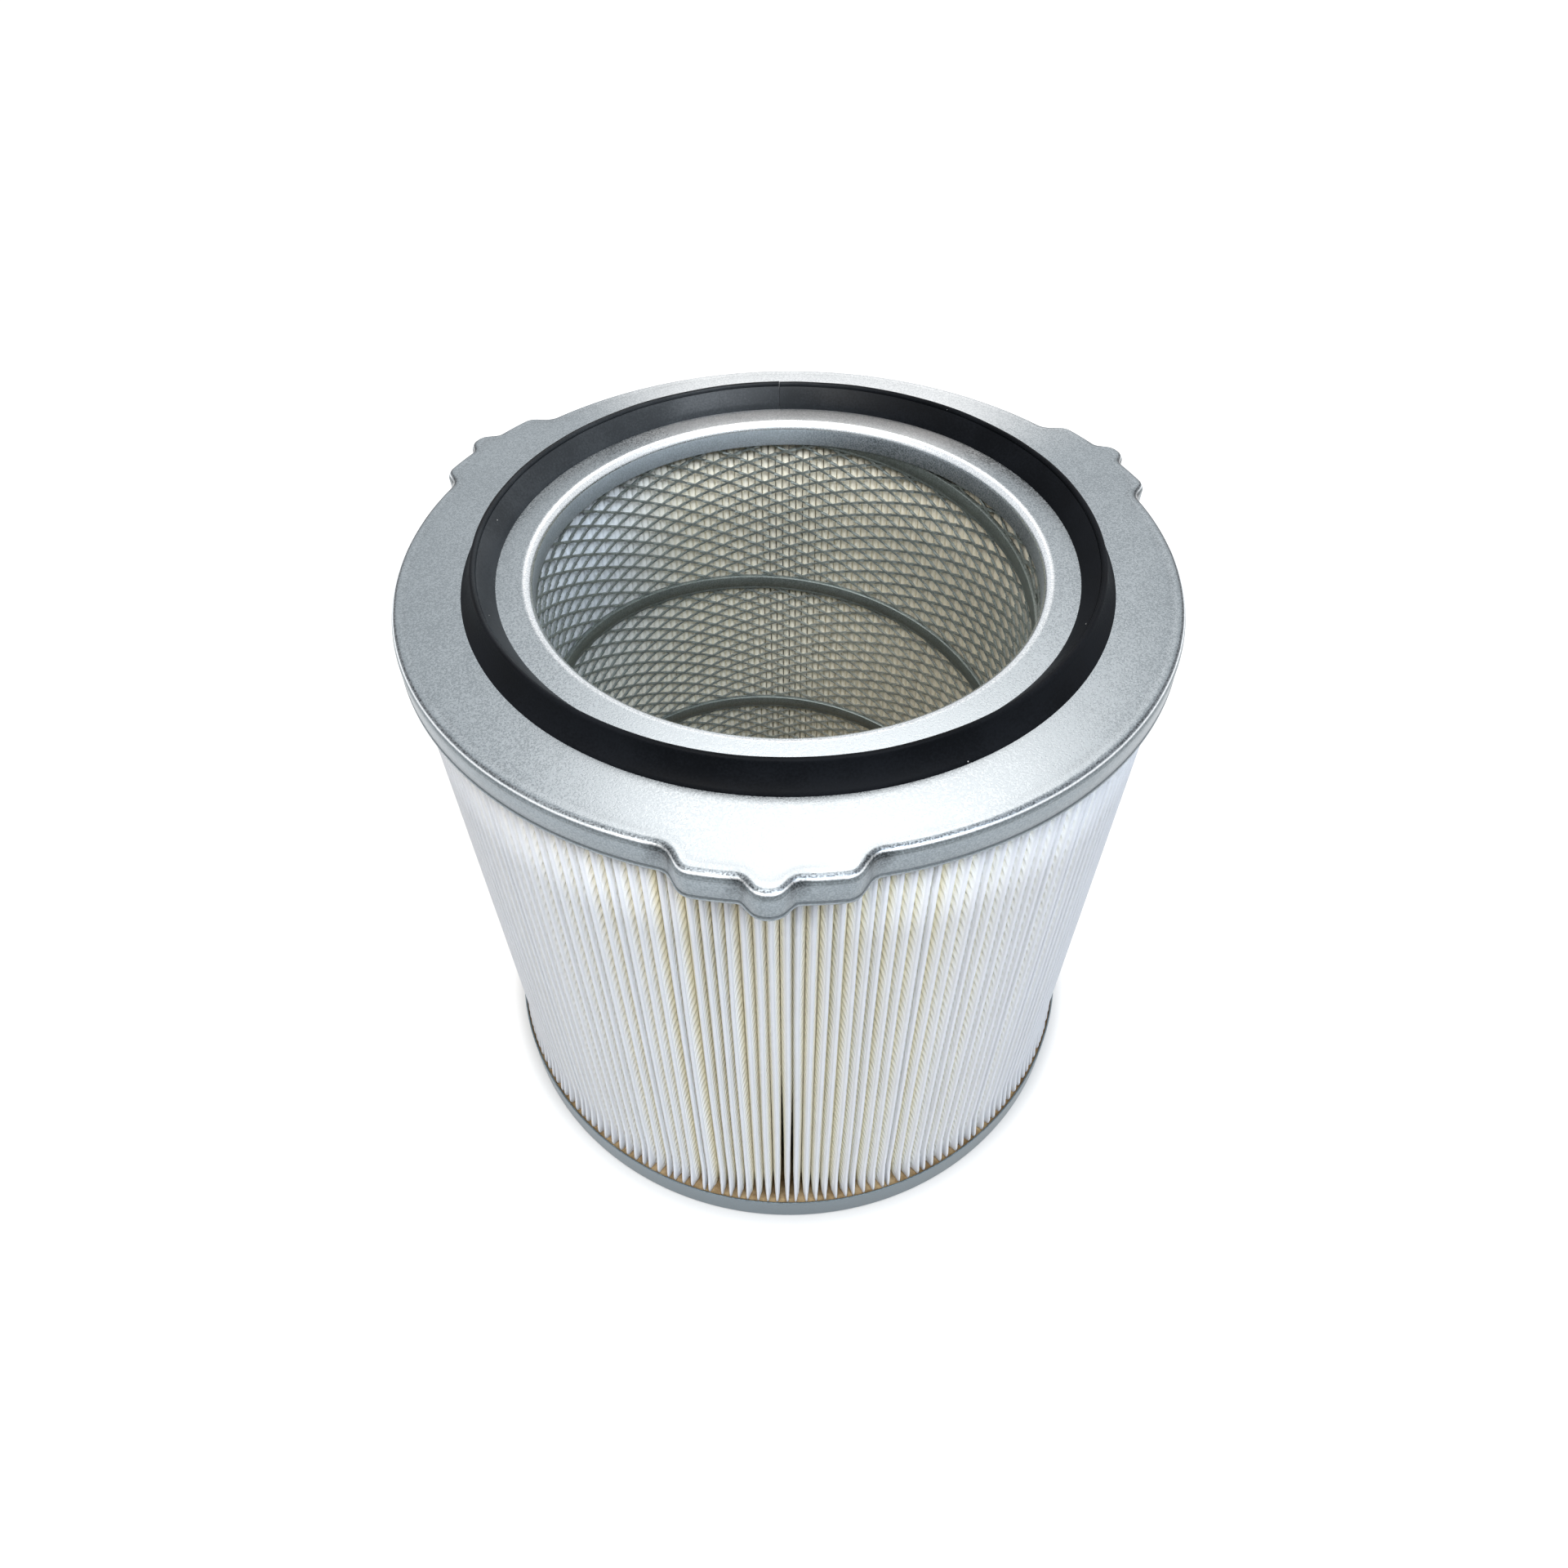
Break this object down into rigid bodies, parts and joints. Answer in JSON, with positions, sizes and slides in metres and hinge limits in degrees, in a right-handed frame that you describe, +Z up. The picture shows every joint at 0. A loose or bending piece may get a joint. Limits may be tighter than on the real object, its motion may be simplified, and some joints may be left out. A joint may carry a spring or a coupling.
{
  "type": "pleated filter element",
  "caption": "Round pleated filter element with a closed pan at its foot, a spiral mesh core, and a three-lug steel flange with an outlet bore and a rubber gasket.",
  "frame": {"origin": "centre of the bottom pan's flat foot", "axes": "+Z up the element's axis towards the outlet bore, -Y through one of the three lugs"},
  "size_m": [0.3272, 0.3416, 0.3196],
  "materials": {
    "galvanised_sheet": "satin galvanised",
    "black_rubber": "matt moulded rubber",
    "filter_media": "matt pressed fibre with a fine embossing",
    "core_metal": "dull galvanised",
    "potting": "amber cast resin",
    "pan_sheet": "satin galvanised"
  },
  "bodies": {
    "root": {"top_flange": "galvanised_sheet", "gasket": "black_rubber", "filter_pleats": "filter_media", "inner_core": "core_metal", "top_potting": "potting", "bottom_potting": "potting", "bottom_cap": "pan_sheet"}
  },
  "joints": []
}
